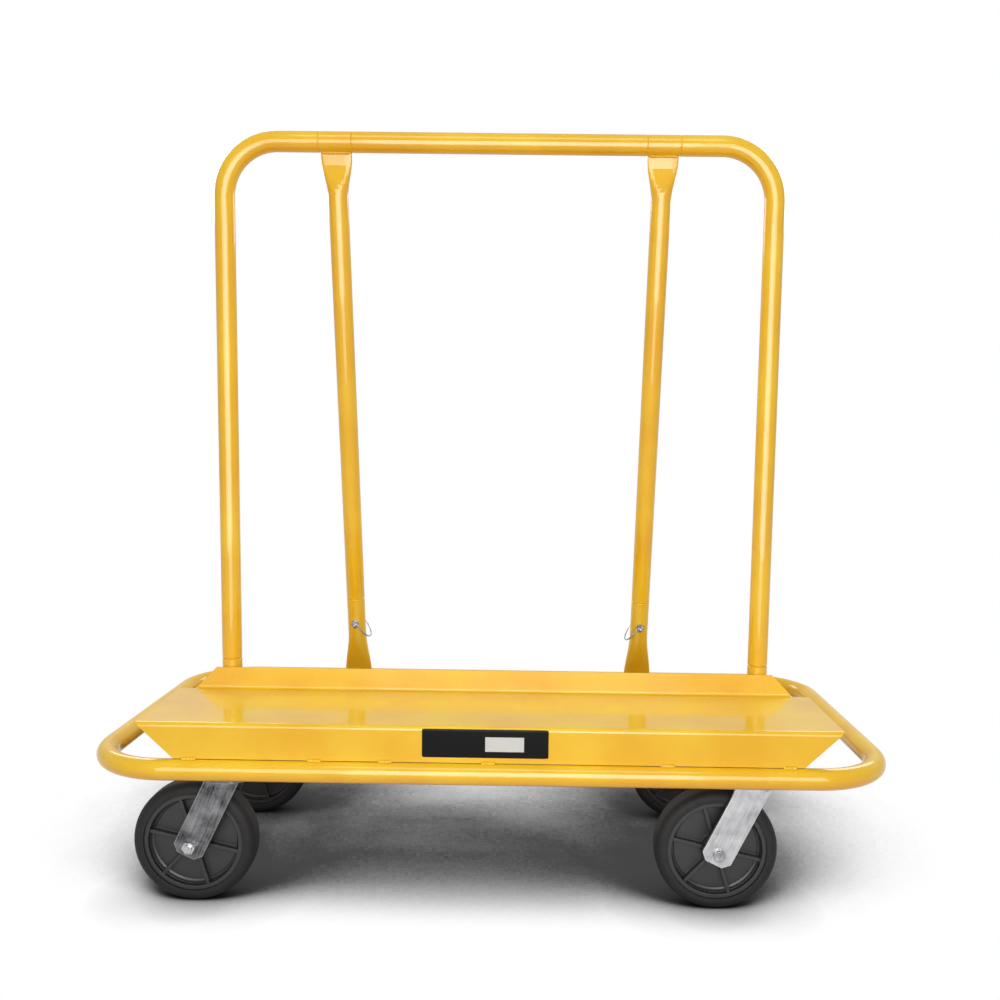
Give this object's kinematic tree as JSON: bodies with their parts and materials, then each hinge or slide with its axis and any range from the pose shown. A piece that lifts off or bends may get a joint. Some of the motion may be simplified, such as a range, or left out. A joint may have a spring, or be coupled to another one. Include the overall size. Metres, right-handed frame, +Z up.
{
  "type": "drywall cart",
  "caption": "Drywall cart with a bent tube base, a folded sheet deck with upturned back, an upright push handle braced from behind, and swivel casters with solid rubber tyres.",
  "frame": {"origin": "on the floor, under the middle of the tube loop", "axes": "+X along the cart, to the right as seen from the loading side; +Y from the loading side to the back; +Z up"},
  "size_m": [1.3, 0.64, 1.283],
  "materials": {
    "powder_coat": "gloss amber-yellow powder coat over steel tube and sheet",
    "zinc_steel": "bright zinc plate with a cloudy bloom",
    "spring_wire": "plated spring wire",
    "core_plastic": "moulded dark grey polymer core",
    "tyre_rubber": "matte black solid rubber"
  },
  "bodies": {
    "base": {"frame_loop": "powder_coat", "brace_bar": "powder_coat", "deck": "powder_coat", "top_bar": "powder_coat", "caster_bolts": "zinc_steel", "caster_nuts": "zinc_steel", "channel_left": "powder_coat", "channel_right": "powder_coat", "deck_rib_left": "powder_coat", "deck_rib_right": "powder_coat", "leg_socket_left": "powder_coat", "leg_socket_right": "powder_coat", "brace_foot_left": "powder_coat", "brace_foot_right": "powder_coat", "leg_left": "powder_coat", "leg_right": "powder_coat", "brace_left": "powder_coat", "brace_right": "powder_coat", "front_left_plate": "zinc_steel", "front_left_kingpin": "zinc_steel", "front_right_plate": "zinc_steel", "front_right_kingpin": "zinc_steel", "rear_left_plate": "zinc_steel", "rear_left_kingpin": "zinc_steel", "rear_right_plate": "zinc_steel", "rear_right_kingpin": "zinc_steel"},
    "front_left_swivel": {"front_left_fork": "zinc_steel", "front_left_race_balls": "zinc_steel", "front_left_axle_bolt": "zinc_steel", "front_left_axle_nut": "zinc_steel", "front_left_axle_sleeve": "zinc_steel"},
    "front_left_wheel": {"front_left_wheel_core": "core_plastic", "front_left_tyre": "tyre_rubber"},
    "front_right_swivel": {"front_right_fork": "zinc_steel", "front_right_race_balls": "zinc_steel", "front_right_axle_bolt": "zinc_steel", "front_right_axle_nut": "zinc_steel", "front_right_axle_sleeve": "zinc_steel"},
    "front_right_wheel": {"front_right_wheel_core": "core_plastic", "front_right_tyre": "tyre_rubber"},
    "rear_left_swivel": {"rear_left_fork": "zinc_steel", "rear_left_race_balls": "zinc_steel", "rear_left_axle_bolt": "zinc_steel", "rear_left_axle_nut": "zinc_steel", "rear_left_axle_sleeve": "zinc_steel"},
    "rear_left_wheel": {"rear_left_wheel_core": "core_plastic", "rear_left_tyre": "tyre_rubber"},
    "rear_right_swivel": {"rear_right_fork": "zinc_steel", "rear_right_race_balls": "zinc_steel", "rear_right_axle_bolt": "zinc_steel", "rear_right_axle_nut": "zinc_steel", "rear_right_axle_sleeve": "zinc_steel"},
    "rear_right_wheel": {"rear_right_wheel_core": "core_plastic", "rear_right_tyre": "tyre_rubber"},
    "left_pin": {"lock_pin_left": "zinc_steel"},
    "left_bail": {"pin_bail_left": "spring_wire"},
    "right_pin": {"lock_pin_right": "zinc_steel"},
    "right_bail": {"pin_bail_right": "spring_wire"}
  },
  "joints": [
    {"name": "front_left_swivel_turn", "type": "hinge", "parent": "base", "child": "front_left_swivel", "pos_m": [-0.434, -0.193, 0.218], "axis": [0, 0, 1], "continuous": true},
    {"name": "front_left_wheel_spin", "type": "hinge", "parent": "front_left_swivel", "child": "front_left_wheel", "pos_m": [-0.492, -0.193, 0.1015], "axis": [0, 1, 0], "continuous": true},
    {"name": "front_right_swivel_turn", "type": "hinge", "parent": "base", "child": "front_right_swivel", "pos_m": [0.434, -0.193, 0.218], "axis": [0, 0, 1], "continuous": true},
    {"name": "front_right_wheel_spin", "type": "hinge", "parent": "front_right_swivel", "child": "front_right_wheel", "pos_m": [0.376, -0.193, 0.1015], "axis": [0, 1, 0], "continuous": true},
    {"name": "rear_left_swivel_turn", "type": "hinge", "parent": "base", "child": "rear_left_swivel", "pos_m": [-0.434, 0.193, 0.218], "axis": [0, 0, 1], "continuous": true},
    {"name": "rear_left_wheel_spin", "type": "hinge", "parent": "rear_left_swivel", "child": "rear_left_wheel", "pos_m": [-0.492, 0.193, 0.1015], "axis": [0, 1, 0], "continuous": true},
    {"name": "rear_right_swivel_turn", "type": "hinge", "parent": "base", "child": "rear_right_swivel", "pos_m": [0.434, 0.193, 0.218], "axis": [0, 0, 1], "continuous": true},
    {"name": "rear_right_wheel_spin", "type": "hinge", "parent": "rear_right_swivel", "child": "rear_right_wheel", "pos_m": [0.376, 0.193, 0.1015], "axis": [0, 1, 0], "continuous": true},
    {"name": "left_pin_play", "type": "slide", "parent": "base", "child": "left_pin", "axis": [0, -0.9772, -0.2121], "range_m": [0, 0.003]},
    {"name": "left_bail_swing", "type": "hinge", "parent": "left_pin", "child": "left_bail", "pos_m": [-0.275, 0.08699, 0.41103], "axis": [-0.8192, 0.1217, -0.5605], "range_deg": [0, 120]},
    {"name": "right_pin_play", "type": "slide", "parent": "base", "child": "right_pin", "axis": [0, -0.9772, -0.2121], "range_m": [0, 0.003]},
    {"name": "right_bail_swing", "type": "hinge", "parent": "right_pin", "child": "right_bail", "pos_m": [0.275, 0.08699, 0.41103], "axis": [-0.8192, -0.1217, 0.5605], "range_deg": [0, 120]}
  ]
}
